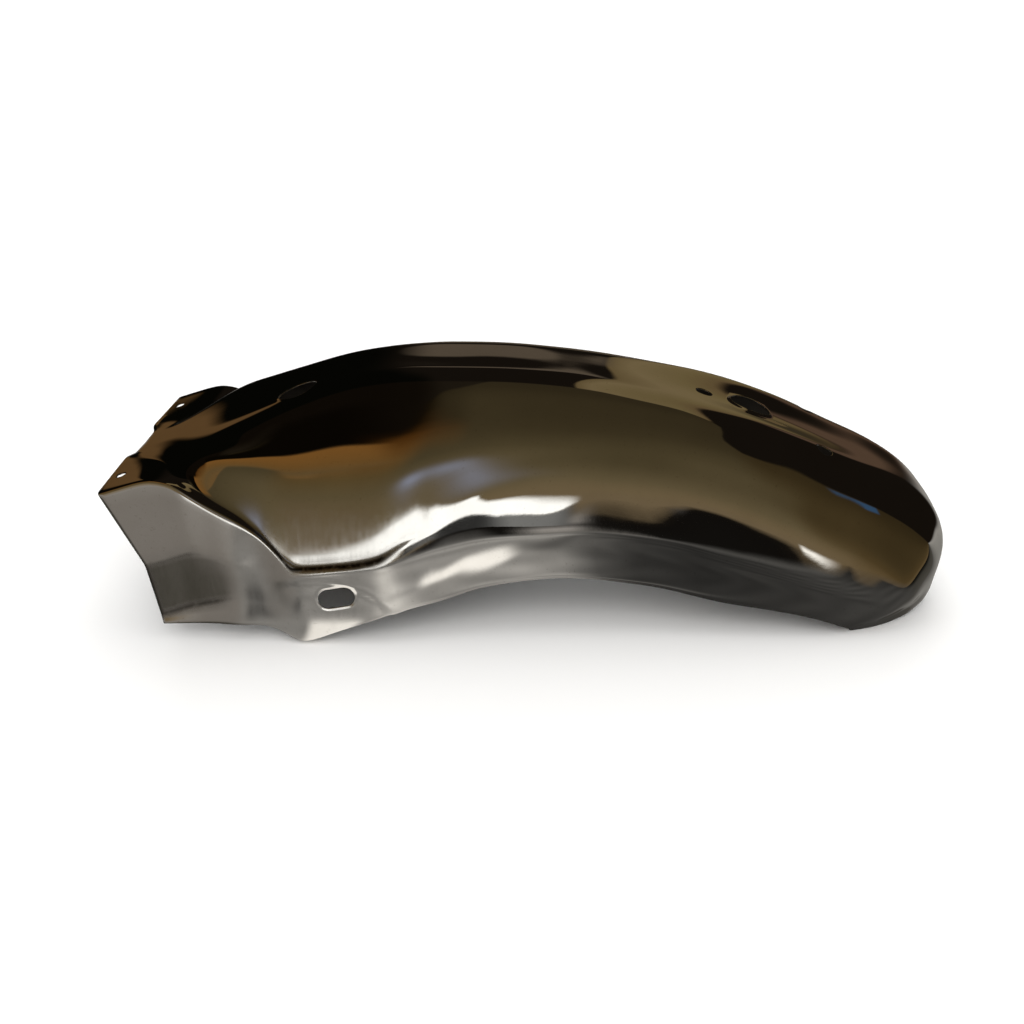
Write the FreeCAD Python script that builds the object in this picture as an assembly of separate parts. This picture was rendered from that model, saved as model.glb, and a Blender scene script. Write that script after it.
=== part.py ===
# Motorcycle rear mudguard: one pressed and chrome plated sheet.
# Millimetres. X runs along the guard (front end at -X, tail at +X), Y across it, Z up.
# The guard stands on a level floor on its two front pads and its two tail corners.
import math
import os

import FreeCAD
import Part

V = FreeCAD.Vector

# ------------------------------------------------------------------ driving dimensions
SHEET = 1.0                 # sheet thickness
FLANGE = 7.0                # width of the rim turned in under each side
LAMP_HOLE_D = 30.0          # wiring hole in the lamp seat
LAMP_BOLT_D = 12.0          # lamp bracket holes
LAMP_FRONT_X = 138.5        # front lamp hole, on the centre line
LAMP_X = 171.5              # wiring hole, on the centre line
LAMP_REAR_X = 219.0         # rear pair of lamp holes
LAMP_REAR_Y = 42.0          # rear pair, half spacing
HARNESS_HOLE_D = 28.5       # harness hole in the front of the crown
HARNESS_X = -149.0
HARNESS_Y = -26.0           # towards the left side
SHELF_HOLE_D = 8.0          # screw holes in the front shelf
SHELF_HOLE_X = -266.5
SHELF_HOLE_Y = 73.0
SLOT_L = 26.0               # mounting slot in each pad, overall length
SLOT_W = 14.5               # mounting slot width
SLOT_X = -117.5
SLOT_Z = 37.0
SLOT_TILT = 9.5             # degrees, rising to the rear

# Stations along the guard. Each gives the corner points of the half section, crown to rim:
#   crown, shoulder, upper side, valley, ridge, fold, foot, rim
# as lists of x, half width y, height z, and how far each corner is rounded off.
STATIONS = [
    ("front edge",
     [-272.5, -272.5, -272.5, -276, -274, -248, -244, -242.5], [0, 12, 22, 33, 101, 101, 93, 95],
     [113.5, 113.8, 114, 115, 115.5, 62, 19, 12.4], [8, 6, 6, 6, 5, 5, 5, 5]),
    ("shelf front",
     [-256, -256, -256, -258, -257, -236, -233, -232], [0, 14, 27, 43, 101, 101, 93, 95],
     [120.5, 120.3, 119.5, 118.5, 121, 65, 22.5, 12.6], [10, 8, 8, 6, 5, 5, 5, 5]),
    ("shelf middle",
     [-238, -238, -238, -238, -238, -225, -223, -222], [0, 26, 44, 60, 101, 101, 93, 95],
     [128.5, 128.2, 125.5, 121.5, 126, 69, 26, 13], [14, 12, 10, 7, 5, 5, 5, 5]),
    ("shelf rear",
     [-220, -220, -220, -220, -220, -213, -212, -211], [0, 46, 72, 89, 101, 101, 94, 95],
     [136, 136, 131, 121.5, 121.5, 72, 29, 13.2], [20, 16, 14, 8, 5, 5, 5, 5]),
    ("panel middle",
     [-204, -204, -204, -204, -204, -201, -200, -200], [0, 56, 80, 93.5, 99.5, 100, 95, 96],
     [142.3, 142.7, 136, 111, 107, 70, 32, 13.4], [24, 20, 16, 7, 5, 5, 5, 5]),
    ("panel rear",
     [-186] * 8, [0, 54.6, 79.2, 93.2, 99, 100, 98, 98.4],
     [149, 149.9, 133.8, 100.8, 96, 63.9, 35.9, 13.4], [27, 25, 30, 7, 5, 6, 6, 5]),
    ("groove front",
     [-170] * 8, [0, 52.7, 79.8, 93.6, 97, 95.4, 93.6, 94.2],
     [155.2, 156.2, 129.6, 88.8, 84, 55.9, 33.8, 12.7], [30, 30, 46, 7, 5, 6, 6, 5]),
    ("groove rear",
     [-158] * 8, [0, 49, 81.6, 95, 97, 96.2, 95, 95.6],
     [159.9, 161, 124.8, 73.8, 70, 47.9, 27.8, 8.2], [30, 30, 46, 7, 5, 6, 6, 5]),
    ("pad front",
     [-146] * 8, [0, 46.1, 83.5, 96.5, 98.9, 100.3, 100.3, 100.3],
     [164.4, 165.6, 121, 60.5, 57.2, 40, 21.9, 0], [30, 30, 46, 7, 5, 6, 6, 5]),
    ("pad middle",
     [-118] * 8, [0, 42.9, 83.4, 96.7, 99.5, 99.4, 99.4, 99.4],
     [173.1, 174.5, 121.9, 62.5, 59.4, 38.2, 24.3, 9.3], [30, 30, 46, 7, 5, 6, 6, 5]),
    ("pad rear",
     [-90] * 8, [0, 40.7, 82.9, 96.3, 98.9, 98.7, 98.7, 98.7],
     [178.8, 179.9, 126.2, 68.6, 60, 36.1, 28.2, 18.9], [30, 30, 46, 8, 6, 6, 6, 5]),
    ("pad end",
     [-68] * 8, [0, 41.1, 80.9, 92.5, 94.6, 94.7, 94.3, 93.8],
     [180.9, 182.1, 131.5, 80.6, 66, 40.5, 32.2, 26.2], [30, 30, 46, 12, 7, 6, 6, 5]),
    ("body front",
     [-48] * 8, [0, 42.7, 77.3, 87.9, 89.9, 89.9, 89.6, 89.5],
     [181.2, 182.7, 137.1, 89.5, 72, 47.3, 38.6, 29.7], [30, 30, 46, 18, 10, 6, 6, 5]),
    ("body rise",
     [-15] * 8, [0, 42.5, 72.7, 82, 85.4, 85.2, 85.2, 85.2],
     [181, 182.4, 144, 110, 79.5, 63.1, 51.3, 39.6], [30, 30, 46, 32, 14, 8, 8, 5]),
    ("body top",
     [38] * 8, [0, 40.4, 67.4, 77.3, 82.2, 82.2, 82.2, 82.2],
     [178.1, 178.6, 146.7, 122.5, 84, 71.1, 58.3, 45.8], [30, 30, 46, 32, 14, 8, 8, 5]),
    ("body fall",
     [100] * 8, [0, 42.7, 64.9, 76.7, 81.4, 80.1, 80.1, 80.1],
     [166.1, 168.1, 143.4, 117.6, 77, 64.3, 51.6, 39.2], [30, 30, 46, 32, 14, 8, 8, 5]),
    ("lamp seat front",
     [150] * 8, [0, 47.6, 67.5, 78.5, 82.2, 80.9, 80.9, 80.9],
     [150.9, 156.3, 133.5, 104.4, 62, 51.9, 39.8, 27.6], [30, 30, 46, 32, 14, 8, 8, 5]),
    ("lamp seat rear",
     [197, 197, 196, 195, 194, 193, 192.5, 192], [0, 48.5, 67.5, 78.3, 82.6, 81.3, 80.8, 80.3],
     [133.4, 140.1, 113.5, 87.1, 48, 40.7, 30.4, 20.3], [30, 30, 46, 32, 14, 8, 8, 5]),
    ("tail front",
     [235, 234, 232, 229, 225, 222, 219, 216], [0, 46.7, 65.3, 76.1, 81.2, 79.9, 79.4, 78.4],
     [118.6, 122.8, 98.4, 71.5, 38, 29.9, 21.9, 14.1], [30, 30, 46, 32, 14, 8, 8, 5]),
    ("tail turn",
     [271.5, 270.6, 265.7, 259, 250.4, 243.6, 238.8, 234], [0, 43, 62, 73, 77.5, 76, 76, 75],
     [104.5, 105.8, 84, 57.8, 30, 20, 12.8, 7], [30, 30, 46, 32, 14, 8, 8, 5]),
    ("tail round",
     [302.8, 300.9, 292.7, 280.2, 265.7, 255.2, 247.5, 240.7], [0, 38, 58, 69.5, 72.5, 71.8, 72, 72],
     [82.3, 82.8, 62.5, 38, 19, 12.5, 7.5, 3.7], [30, 30, 46, 32, 14, 8, 6, 5]),
    ("tail end",
     [314.8, 312.9, 304.7, 290.8, 273.4, 260, 249.9, 242.7], [0, 34, 49.5, 58, 63, 65.5, 67, 67.5],
     [52.5, 51.8, 40.5, 22.5, 12, 7, 4, 1.6], [30, 30, 46, 32, 14, 8, 6, 5]),
    ("lip line",
     [315.3, 311.9, 303.3, 289.3, 273.4, 260.5, 250.5, 243.2], [0, 23.5, 37, 48.5, 56.8, 62.5, 65.5, 67.3],
     [28, 24.5, 18.5, 11, 6.5, 3.6, 1.8, 0.7], [14, 12, 12, 12, 10, 8, 6, 5]),
    ("tail edge",
     [313.8, 310.5, 301.8, 287.9, 272.5, 260, 250.4, 243.2], [0, 22, 35, 46.5, 55.5, 61.8, 65.3, 67.2],
     [18, 14, 8, 2.5, 0.3, 0, 0, 0], [14, 12, 12, 12, 10, 8, 6, 5]),
]
ROW_GAP = 12.0              # greatest distance between rows of the skin's net
LIP_ROWS = 3                # rows across the tail lip


# ------------------------------------------------------------------ skin of the sheet
def monotone(xs, ys):
    """Slopes of a curve through the points that never overshoots them."""
    n = len(xs)
    h = [xs[i + 1] - xs[i] for i in range(n - 1)]
    s = [(ys[i + 1] - ys[i]) / h[i] for i in range(n - 1)]
    m = [0.0] * n
    for i in range(1, n - 1):
        if s[i - 1] * s[i] > 0:
            a = 2 * h[i] + h[i - 1]
            b = h[i] + 2 * h[i - 1]
            m[i] = (a + b) / (a / s[i - 1] + b / s[i])

    def end(h0, h1, s0, s1):
        e = ((2 * h0 + h1) * s0 - h0 * s1) / (h0 + h1)
        if e * s0 <= 0:
            return 0.0
        if s0 * s1 <= 0 and abs(e) > 3 * abs(s0):
            return 3 * s0
        return e

    m[0] = end(h[0], h[1], s[0], s[1])
    m[-1] = end(h[-1], h[-2], s[-1], s[-2])
    return m


def curve_at(xs, ys, m, x):
    i = 0
    while i < len(xs) - 2 and x > xs[i + 1]:
        i += 1
    h = xs[i + 1] - xs[i]
    t = (x - xs[i]) / h
    return ((1 + 2 * t) * (1 - t) ** 2 * ys[i] + t * (1 - t) ** 2 * h * m[i]
            + t * t * (3 - 2 * t) * ys[i + 1] + t * t * (t - 1) * h * m[i + 1])


def net_rows():
    """Half-section corners at every row of the net."""
    n = len(STATIONS)
    u = [0.0]
    for i in range(n - 1):
        a, b = STATIONS[i], STATIONS[i + 1]
        d = sum(math.sqrt(sum((a[c][k] - b[c][k]) ** 2 for c in (1, 2, 3))) for k in range(8)) / 8
        u.append(u[-1] + d)
    rows_u = []
    for i in range(n - 1):
        k = LIP_ROWS if i == n - 2 else max(1, int(round((u[i + 1] - u[i]) / ROW_GAP)))
        rows_u += [u[i] + (u[i + 1] - u[i]) * j / k for j in range(k)]
    rows_u.append(u[-1])
    curves = {}
    for c in (1, 2, 3, 4):
        for k in range(8):
            ys = [float(s[c][k]) for s in STATIONS]
            curves[c, k] = (ys, monotone(u, ys))
    return [[tuple(curve_at(u, curves[c, k][0], curves[c, k][1], x) for c in (1, 2, 3, 4))
             for k in range(8)] for x in rows_u]


def part_way(a, b, dist):
    length = math.sqrt(sum((a[i] - b[i]) ** 2 for i in range(3)))
    f = min(dist / max(length, 1e-9), 0.46)
    return tuple(a[i] + (b[i] - a[i]) * f for i in range(3))


def net():
    """Poles of the outer skin: near rim, over the crown, to the far rim."""
    poles = []
    for row in net_rows():
        half = [row[0][:3], part_way(row[0], row[1], row[0][3])]
        row = row + [(row[7][0], row[7][1] - FLANGE, row[7][2] + 0.6, 2.0)]
        for i in range(1, 8):
            half += [part_way(row[i], row[i - 1], row[i][3]), row[i][:3],
                     part_way(row[i], row[i + 1], row[i][3])]
        half += [part_way(row[8], row[7], row[8][3]), row[8][:3]]
        near = [(x, -y, z) for x, y, z in reversed(half)]
        poles.append(near[:-1] + [(x, y, z) for x, y, z in half])
    return poles


def knots(n):
    return [i / float(n - 3) for i in range(n - 2)], [4] + [1] * (n - 4) + [4]


def full_knots(n):
    k, m = knots(n)
    return [a for a, b in zip(k, m) for _ in range(b)]


def greville(n):
    t = full_knots(n)
    return [(t[i + 1] + t[i + 2] + t[i + 3]) / 3.0 for i in range(n)]


def basis(n, x):
    t = full_knots(n)
    b = [0.0] * (len(t) - 1)
    for i in range(len(t) - 1):
        if t[i] <= x < t[i + 1]:
            b[i] = 1.0
    if x >= t[-1]:
        b[n - 1] = 1.0
    for d in (1, 2, 3):
        for i in range(len(t) - 1 - d):
            l = (x - t[i]) / (t[i + d] - t[i]) * b[i] if t[i + d] > t[i] else 0.0
            r = (t[i + d + 1] - x) / (t[i + d + 1] - t[i + 1]) * b[i + 1] if t[i + d + 1] > t[i + 1] else 0.0
            b[i] = l + r
    if x >= t[-1]:
        b = [0.0] * n
        b[n - 1] = 1.0
    return b[:n]


def solve(a, rhs):
    n = len(a)
    a = [list(r) for r in a]
    rhs = [list(r) for r in rhs]
    for i in range(n):
        p = max(range(i, n), key=lambda r: abs(a[r][i]))
        a[i], a[p] = a[p], a[i]
        rhs[i], rhs[p] = rhs[p], rhs[i]
        for r in range(i + 1, n):
            f = a[r][i] / a[i][i]
            if f:
                for c in range(i, n):
                    a[r][c] -= f * a[i][c]
                for c in range(len(rhs[r])):
                    rhs[r][c] -= f * rhs[i][c]
    for i in range(n - 1, -1, -1):
        for c in range(len(rhs[i])):
            rhs[i][c] = (rhs[i][c] - sum(a[i][k] * rhs[k][c] for k in range(i + 1, n))) / a[i][i]
    return rhs


def skin(poles):
    s = Part.BSplineSurface()
    ku, mu = knots(len(poles))
    kv, mv = knots(len(poles[0]))
    s.buildFromPolesMultsKnots([[V(*p) for p in r] for r in poles], mu, mv, ku, kv, False, False, 3, 3)
    return s


def inner_net(outer, nu, nv, t):
    """Poles of the skin one sheet thickness inside the outer one."""
    gu, gv = greville(nu), greville(nv)
    pts = []
    for a in gu:
        r = []
        for b in gv:
            p = outer.value(a, b)
            n = outer.normal(a, b)
            r.append(p - n * t * SIGN)
        pts.append(r)
    bu = [basis(nu, a) for a in gu]
    bv = [basis(nv, b) for b in gv]
    flat = [[c for p in r for c in (p.x, p.y, p.z)] for r in pts]
    x = solve(bu, flat)
    cols = [[c for i in range(nu) for c in x[i][3 * j:3 * j + 3]] for j in range(nv)]
    y = solve(bv, cols)
    return [[tuple(y[j][3 * i:3 * i + 3]) for j in range(nv)] for i in range(nu)]


POLES = net()
NU, NV = len(POLES), len(POLES[0])
OUTER = skin(POLES)
SIGN = 1.0 if OUTER.normal(0.5, 0.5).z > 0 else -1.0
INNER = skin(inner_net(OUTER, NU, NV, SHEET))

fo, fi = OUTER.toShape(), INNER.toShape()
sides = []
for kind in ("u0", "u1", "v0", "v1"):
    if kind[0] == "u":
        a, b = OUTER.uIso(float(kind[1])), INNER.uIso(float(kind[1]))
    else:
        a, b = OUTER.vIso(float(kind[1])), INNER.vIso(float(kind[1]))
    sides.append(Part.makeRuledSurface(a.toShape(), b.toShape()))
shell = Part.makeShell([fo, fi] + sides)
shell.sewShape(1e-4)
if shell.ShapeType != "Shell":
    shell = shell.Shells[0]
body = Part.makeSolid(shell)
if body.Volume < 0:
    body.reverse()


# ------------------------------------------------------------------ holes
def on_skin(x, y, z):
    """The point of the outer skin at x and y, and the skin's normal there."""
    for _ in range(40):
        u, v = OUTER.parameter(V(x, y, z))
        p = OUTER.value(u, v)
        if abs(p.z - z) < 1e-7:
            break
        z = p.z
    return V(x, y, p.z), (OUTER.normal(u, v) * SIGN).normalize()


def drill(p, n, d):
    return Part.makeCylinder(d / 2.0, 24.0, p - n * 12.0, n)


holes = [("lamp_wiring", on_skin(LAMP_X, 0, 141), LAMP_HOLE_D),
         ("lamp_front", on_skin(LAMP_FRONT_X, 0, 154), LAMP_BOLT_D),
         ("harness", on_skin(HARNESS_X, HARNESS_Y, 157), HARNESS_HOLE_D)]
cuts = []
for side, name in ((-1, "left"), (1, "right")):
    holes.append(("lamp_rear_" + name, on_skin(LAMP_REAR_X, side * LAMP_REAR_Y, 121), LAMP_BOLT_D))
    holes.append(("shelf_" + name, on_skin(SHELF_HOLE_X, side * SHELF_HOLE_Y, 119), SHELF_HOLE_D))
    r = SLOT_W / 2.0
    half = SLOT_L / 2.0 - r
    c, s = math.cos(math.radians(SLOT_TILT)), math.sin(math.radians(SLOT_TILT))
    a = V(SLOT_X - half * c, side * 85.0, SLOT_Z - half * s)
    b = V(SLOT_X + half * c, side * 85.0, SLOT_Z + half * s)
    off = V(-s, 0, c) * r
    wire = Part.Wire([Part.Arc(a + off, a - V(c, 0, s) * r, a - off).toShape(),
                      Part.makeLine(a - off, b - off),
                      Part.Arc(b - off, b + V(c, 0, s) * r, b + off).toShape(),
                      Part.makeLine(b + off, a + off)])
    cuts.append(Part.Face(wire).extrude(V(0, side * 30.0, 0)))
cuts += [drill(p, n, d) for _, (p, n), d in holes]
for tool in cuts:
    body = body.cut(tool)
if body.ShapeType != "Solid":
    body = max(body.Solids, key=lambda k: k.Volume)

box = body.optimalBoundingBox()
shift = V(-(box.XMin + box.XMax) / 2, 0, -box.ZMin)
body.translate(shift)
os.makedirs("parts", exist_ok=True)
body.exportStep("parts/mudguard_shell.step")

box = body.optimalBoundingBox()
print("valid", body.isValid(), "volume", round(body.Volume, 1), "faces", len(body.Faces), "shift", shift)
print("box", [round(v, 3) for v in (box.XMin, box.YMin, box.ZMin, box.XMax, box.YMax, box.ZMax)])
for name, (p, n), d in holes:
    print(name, d, [round(v, 3) for v in p + shift], [round(v, 5) for v in n])
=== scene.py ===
"""Motorcycle rear mudguard: one pressed sheet, chrome plated, standing on a pale studio floor."""
import math

import bpy
import bmesh
import numpy as np
from mathutils import Matrix, Vector


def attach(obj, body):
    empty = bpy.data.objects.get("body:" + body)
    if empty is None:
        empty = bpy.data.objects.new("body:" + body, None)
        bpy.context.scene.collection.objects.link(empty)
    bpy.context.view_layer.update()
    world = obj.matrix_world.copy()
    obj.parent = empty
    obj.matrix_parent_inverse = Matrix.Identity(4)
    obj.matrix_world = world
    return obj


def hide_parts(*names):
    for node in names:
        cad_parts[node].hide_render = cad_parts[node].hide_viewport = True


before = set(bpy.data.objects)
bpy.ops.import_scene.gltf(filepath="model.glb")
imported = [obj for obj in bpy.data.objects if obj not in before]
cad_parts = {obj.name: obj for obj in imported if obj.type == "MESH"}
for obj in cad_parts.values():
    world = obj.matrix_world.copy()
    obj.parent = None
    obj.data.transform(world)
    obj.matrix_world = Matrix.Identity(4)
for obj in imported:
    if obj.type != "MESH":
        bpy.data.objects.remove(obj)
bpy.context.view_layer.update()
NODE = "mudguard_shell"

# ---------------------------------------------------------------- sizes, in millimetres
SHEET = 1.0
FLANGE = 7.0
SHIFT_X = -19.4211
LAMP_X, LAMP_FRONT_X, LAMP_REAR_X, LAMP_REAR_Y = 171.5, 138.5, 219.0, 42.0
HARNESS_X, HARNESS_Y = -149.0, -26.0
SHELF_HOLE_X, SHELF_HOLE_Y = -266.5, 73.0
SLOT_L, SLOT_W, SLOT_X, SLOT_Z, SLOT_TILT = 26.0, 14.5, -117.5, 37.0, 9.5
ROW_GAP, LIP_ROWS = 12.0, 3

# Stations along the guard. Each gives the corner points of the half section, crown to rim:
#   crown, shoulder, upper side, valley, ridge, fold, foot, rim
# as lists of x, half width y, height z, and how far each corner is rounded off.
STATIONS = [
    ("front edge",
     [-272.5, -272.5, -272.5, -276, -274, -248, -244, -242.5], [0, 12, 22, 33, 101, 101, 93, 95],
     [113.5, 113.8, 114, 115, 115.5, 62, 19, 12.4], [8, 6, 6, 6, 5, 5, 5, 5]),
    ("shelf front",
     [-256, -256, -256, -258, -257, -236, -233, -232], [0, 14, 27, 43, 101, 101, 93, 95],
     [120.5, 120.3, 119.5, 118.5, 121, 65, 22.5, 12.6], [10, 8, 8, 6, 5, 5, 5, 5]),
    ("shelf middle",
     [-238, -238, -238, -238, -238, -225, -223, -222], [0, 26, 44, 60, 101, 101, 93, 95],
     [128.5, 128.2, 125.5, 121.5, 126, 69, 26, 13], [14, 12, 10, 7, 5, 5, 5, 5]),
    ("shelf rear",
     [-220, -220, -220, -220, -220, -213, -212, -211], [0, 46, 72, 89, 101, 101, 94, 95],
     [136, 136, 131, 121.5, 121.5, 72, 29, 13.2], [20, 16, 14, 8, 5, 5, 5, 5]),
    ("panel middle",
     [-204, -204, -204, -204, -204, -201, -200, -200], [0, 56, 80, 93.5, 99.5, 100, 95, 96],
     [142.3, 142.7, 136, 111, 107, 70, 32, 13.4], [24, 20, 16, 7, 5, 5, 5, 5]),
    ("panel rear",
     [-186] * 8, [0, 54.6, 79.2, 93.2, 99, 100, 98, 98.4],
     [149, 149.9, 133.8, 100.8, 96, 63.9, 35.9, 13.4], [27, 25, 30, 7, 5, 6, 6, 5]),
    ("groove front",
     [-170] * 8, [0, 52.7, 79.8, 93.6, 97, 95.4, 93.6, 94.2],
     [155.2, 156.2, 129.6, 88.8, 84, 55.9, 33.8, 12.7], [30, 30, 46, 7, 5, 6, 6, 5]),
    ("groove rear",
     [-158] * 8, [0, 49, 81.6, 95, 97, 96.2, 95, 95.6],
     [159.9, 161, 124.8, 73.8, 70, 47.9, 27.8, 8.2], [30, 30, 46, 7, 5, 6, 6, 5]),
    ("pad front",
     [-146] * 8, [0, 46.1, 83.5, 96.5, 98.9, 100.3, 100.3, 100.3],
     [164.4, 165.6, 121, 60.5, 57.2, 40, 21.9, 0], [30, 30, 46, 7, 5, 6, 6, 5]),
    ("pad middle",
     [-118] * 8, [0, 42.9, 83.4, 96.7, 99.5, 99.4, 99.4, 99.4],
     [173.1, 174.5, 121.9, 62.5, 59.4, 38.2, 24.3, 9.3], [30, 30, 46, 7, 5, 6, 6, 5]),
    ("pad rear",
     [-90] * 8, [0, 40.7, 82.9, 96.3, 98.9, 98.7, 98.7, 98.7],
     [178.8, 179.9, 126.2, 68.6, 60, 36.1, 28.2, 18.9], [30, 30, 46, 8, 6, 6, 6, 5]),
    ("pad end",
     [-68] * 8, [0, 41.1, 80.9, 92.5, 94.6, 94.7, 94.3, 93.8],
     [180.9, 182.1, 131.5, 80.6, 66, 40.5, 32.2, 26.2], [30, 30, 46, 12, 7, 6, 6, 5]),
    ("body front",
     [-48] * 8, [0, 42.7, 77.3, 87.9, 89.9, 89.9, 89.6, 89.5],
     [181.2, 182.7, 137.1, 89.5, 72, 47.3, 38.6, 29.7], [30, 30, 46, 18, 10, 6, 6, 5]),
    ("body rise",
     [-15] * 8, [0, 42.5, 72.7, 82, 85.4, 85.2, 85.2, 85.2],
     [181, 182.4, 144, 110, 79.5, 63.1, 51.3, 39.6], [30, 30, 46, 32, 14, 8, 8, 5]),
    ("body top",
     [38] * 8, [0, 40.4, 67.4, 77.3, 82.2, 82.2, 82.2, 82.2],
     [178.1, 178.6, 146.7, 122.5, 84, 71.1, 58.3, 45.8], [30, 30, 46, 32, 14, 8, 8, 5]),
    ("body fall",
     [100] * 8, [0, 42.7, 64.9, 76.7, 81.4, 80.1, 80.1, 80.1],
     [166.1, 168.1, 143.4, 117.6, 77, 64.3, 51.6, 39.2], [30, 30, 46, 32, 14, 8, 8, 5]),
    ("lamp seat front",
     [150] * 8, [0, 47.6, 67.5, 78.5, 82.2, 80.9, 80.9, 80.9],
     [150.9, 156.3, 133.5, 104.4, 62, 51.9, 39.8, 27.6], [30, 30, 46, 32, 14, 8, 8, 5]),
    ("lamp seat rear",
     [197, 197, 196, 195, 194, 193, 192.5, 192], [0, 48.5, 67.5, 78.3, 82.6, 81.3, 80.8, 80.3],
     [133.4, 140.1, 113.5, 87.1, 48, 40.7, 30.4, 20.3], [30, 30, 46, 32, 14, 8, 8, 5]),
    ("tail front",
     [235, 234, 232, 229, 225, 222, 219, 216], [0, 46.7, 65.3, 76.1, 81.2, 79.9, 79.4, 78.4],
     [118.6, 122.8, 98.4, 71.5, 38, 29.9, 21.9, 14.1], [30, 30, 46, 32, 14, 8, 8, 5]),
    ("tail turn",
     [271.5, 270.6, 265.7, 259, 250.4, 243.6, 238.8, 234], [0, 43, 62, 73, 77.5, 76, 76, 75],
     [104.5, 105.8, 84, 57.8, 30, 20, 12.8, 7], [30, 30, 46, 32, 14, 8, 8, 5]),
    ("tail round",
     [302.8, 300.9, 292.7, 280.2, 265.7, 255.2, 247.5, 240.7], [0, 38, 58, 69.5, 72.5, 71.8, 72, 72],
     [82.3, 82.8, 62.5, 38, 19, 12.5, 7.5, 3.7], [30, 30, 46, 32, 14, 8, 6, 5]),
    ("tail end",
     [314.8, 312.9, 304.7, 290.8, 273.4, 260, 249.9, 242.7], [0, 34, 49.5, 58, 63, 65.5, 67, 67.5],
     [52.5, 51.8, 40.5, 22.5, 12, 7, 4, 1.6], [30, 30, 46, 32, 14, 8, 6, 5]),
    ("lip line",
     [315.3, 311.9, 303.3, 289.3, 273.4, 260.5, 250.5, 243.2], [0, 23.5, 37, 48.5, 56.8, 62.5, 65.5, 67.3],
     [28, 24.5, 18.5, 11, 6.5, 3.6, 1.8, 0.7], [14, 12, 12, 12, 10, 8, 6, 5]),
    ("tail edge",
     [313.8, 310.5, 301.8, 287.9, 272.5, 260, 250.4, 243.2], [0, 22, 35, 46.5, 55.5, 61.8, 65.3, 67.2],
     [18, 14, 8, 2.5, 0.3, 0, 0, 0], [14, 12, 12, 12, 10, 8, 6, 5]),
]


# ---------------------------------------------------------------- the sheet's skin
def monotone(xs, ys):
    """Slopes of a curve through the points that never overshoots them."""
    h, s = np.diff(xs), np.diff(ys) / np.diff(xs)
    m = np.zeros(len(xs))
    for i in range(1, len(xs) - 1):
        if s[i - 1] * s[i] > 0:
            a, b = 2 * h[i] + h[i - 1], h[i] + 2 * h[i - 1]
            m[i] = (a + b) / (a / s[i - 1] + b / s[i])

    def end(h0, h1, s0, s1):
        e = ((2 * h0 + h1) * s0 - h0 * s1) / (h0 + h1)
        if e * s0 <= 0:
            return 0.0
        return 3 * s0 if s0 * s1 <= 0 and abs(e) > 3 * abs(s0) else e

    m[0], m[-1] = end(h[0], h[1], s[0], s[1]), end(h[-1], h[-2], s[-1], s[-2])
    return m


def curve_at(xs, ys, x):
    m = monotone(xs, ys)
    i = np.clip(np.searchsorted(xs, x, side="left") - 1, 0, len(xs) - 2)
    h = xs[i + 1] - xs[i]
    t = (x - xs[i]) / h
    return ((1 + 2 * t) * (1 - t) ** 2 * ys[i] + t * (1 - t) ** 2 * h * m[i]
            + t * t * (3 - 2 * t) * ys[i + 1] + t * t * (t - 1) * h * m[i + 1])


def net():
    """Poles of the outer skin: near rim, over the crown, to the far rim."""
    st = np.array([[s[1], s[2], s[3], s[4]] for s in STATIONS], float)      # station, x y z d, corner
    u = np.r_[0, np.cumsum(np.linalg.norm(np.diff(st[:, :3], axis=0), axis=1).mean(1))]
    rows = []
    for i in range(len(u) - 1):
        k = LIP_ROWS if i == len(u) - 2 else max(1, int(round((u[i + 1] - u[i]) / ROW_GAP)))
        rows += [u[i] + (u[i + 1] - u[i]) * j / k for j in range(k)]
    rows = np.array(rows + [u[-1]])
    c = np.stack([np.stack([curve_at(u, st[:, q, k], rows) for q in range(4)], -1) for k in range(8)], 1)
    last = c[:, 7].copy()
    last[:, 1] -= FLANGE
    last[:, 2] += 0.6
    last[:, 3] = 2.0
    c = np.concatenate([c, last[:, None]], 1)

    def part_way(a, b):
        length = np.linalg.norm(a[:, :3] - b[:, :3], axis=1)
        f = np.minimum(a[:, 3] / np.maximum(length, 1e-9), 0.46)[:, None]
        return a[:, :3] + (b[:, :3] - a[:, :3]) * f

    half = [c[:, 0, :3], part_way(c[:, 0], c[:, 1])]
    for k in range(1, 8):
        half += [part_way(c[:, k], c[:, k - 1]), c[:, k, :3], part_way(c[:, k], c[:, k + 1])]
    half += [part_way(c[:, 8], c[:, 7]), c[:, 8, :3]]
    half = np.stack(half, 1)
    near = half[:, ::-1] * [1, -1, 1]
    return np.concatenate([near[:, :-1], half], 1)


def few(t, k, x, p):
    """The basis functions of degree p that aren't zero at x."""
    n, left, right = [np.ones_like(x)], {}, {}
    for j in range(1, p + 1):
        left[j], right[j] = x - t[k + 1 - j], t[k + j] - x
        saved, new = 0.0, []
        for r in range(j):
            q = n[r] / (right[r + 1] + left[j - r])
            new.append(saved + right[r + 1] * q)
            saved = left[j - r] * q
        n = new + [saved]
    return np.stack(n, -1)


def weights(n, x):
    """First pole, values and slopes of the four cubic basis functions at each x."""
    x = np.clip(np.asarray(x, float), 0, 1)
    t = np.r_[[0.0] * 3, np.linspace(0, 1, n - 2), [1.0] * 3]
    k = np.clip(np.searchsorted(t, x, side="right") - 1, 3, n - 1)
    b, m = few(t, k, x, 3), few(t, k, x, 2)
    a0, a1, a2 = (3 / (t[k + 1 + i] - t[k - 2 + i]) * m[:, i] for i in range(3))
    return k - 3, b, np.stack([-a0, a0 - a1, a1 - a2, a2], -1)


POLES = net() + [SHIFT_X, 0, 0]


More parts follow.
